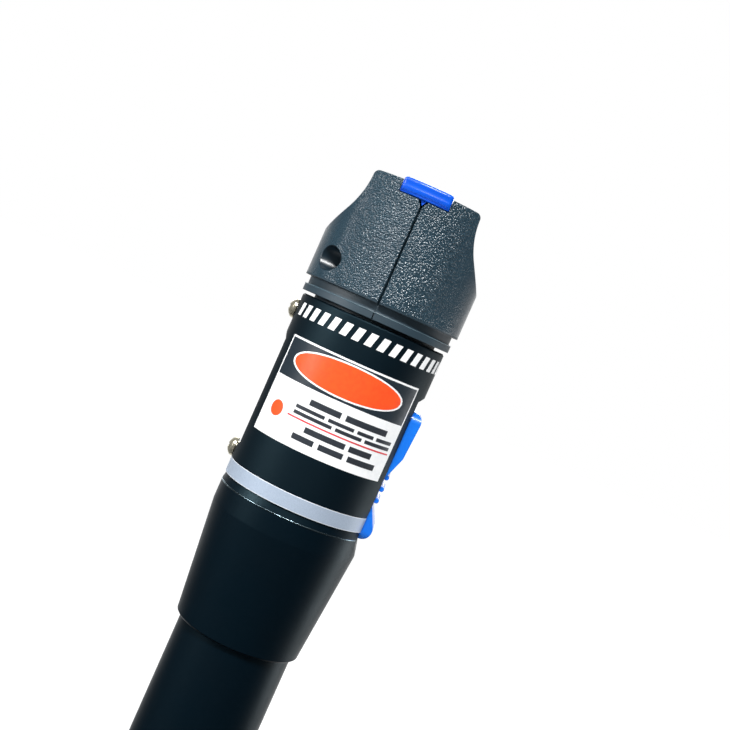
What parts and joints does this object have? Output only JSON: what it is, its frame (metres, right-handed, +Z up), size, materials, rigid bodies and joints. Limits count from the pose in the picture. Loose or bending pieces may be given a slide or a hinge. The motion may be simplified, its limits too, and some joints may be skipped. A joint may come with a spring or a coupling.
{
  "type": "visual fault locator",
  "caption": "Pen-type fibre tester: round barrel with a screwed battery tube, a slide switch and a capped ferrule socket in the head.",
  "frame": {"origin": "centre of the tail's flat face, on the pen's axis", "axes": "+Z up the pen's axis towards the ferrule socket, -Y to the front with the label and the head's seam, +X to the slide button"},
  "size_m": [0.0266, 0.0266, 0.1756],
  "materials": {
    "head_plastic": "black moulded plastic with a fine leather grain",
    "black_anodised": "satin black anodised aluminium",
    "band_silver": "satin silver",
    "button_blue": "glossy blue",
    "cap_blue": "glossy blue",
    "screw_metal": "bright plated",
    "receptacle_metal": "bright turned nickel plate",
    "ceramic": "white polished ceramic",
    "module_brass": "turned brass",
    "plated_metal": "plated sheet metal",
    "lens_glass": "clear polished glass",
    "inner_plastic": "black moulded plastic",
    "board": "green solder mask",
    "chip": "black moulded package",
    "contact_metal": "plated brass",
    "cell_jacket": "plain printed jacket over a metal can",
    "seal_rubber": "black rubber",
    "spring_steel": "nickel plated wire",
    "print_white": "white screen print",
    "print_dark": "dark grey screen print",
    "print_orange": "orange screen print",
    "print_red": "red screen print"
  },
  "bodies": {
    "housing": {"head_shell_left": "head_plastic", "head_shell_right": "head_plastic", "head_screws": "screw_metal", "receptacle": "receptacle_metal", "alignment_sleeve": "ceramic", "laser_module": "module_brass", "laser_diode": "plated_metal", "focus_lens": "lens_glass", "lens_retainer": "module_brass", "barrel": "black_anodised", "band_ring": "band_silver", "taper_sleeve": "black_anodised", "side_screw_upper": "screw_metal", "side_screw_lower": "screw_metal", "inner_chassis": "inner_plastic", "circuit_board": "board", "driver_chip": "chip", "slide_switch": "plated_metal", "contact_carrier": "inner_plastic", "front_contact": "contact_metal", "return_contact": "contact_metal"},
    "slider": {"slider_button": "button_blue", "switch_knob": "inner_plastic"},
    "dust_cap": {"dust_cap": "cap_blue"},
    "cells": {"cell_front": "cell_jacket", "cell_rear": "cell_jacket"},
    "battery_tube": {"battery_tube": "black_anodised", "tube_seal": "seal_rubber", "tail_plug": "black_anodised", "tail_spring": "spring_steel"}
  },
  "joints": [
    {"name": "dust_cap_pull", "type": "slide", "parent": "housing", "child": "dust_cap", "axis": [0, 0, 1], "range_m": [0, 0.04]},
    {"name": "switch_slide", "type": "slide", "parent": "housing", "child": "slider", "axis": [0, 0, 1], "range_m": [0, 0.0016]},
    {"name": "tube_advance", "type": "slide", "parent": "housing", "child": "cells", "axis": [0, 0, -1], "range_m": [0, 0.006]},
    {"name": "tube_turn", "type": "hinge", "parent": "cells", "child": "battery_tube", "pos_m": [0, 0, 0.105], "axis": [0, 0, -1], "range_deg": [0, 2160]}
  ],
  "couplings": [
    {"joint": "tube_turn", "follows": "tube_advance", "rad_per_m": 6283.2}
  ]
}
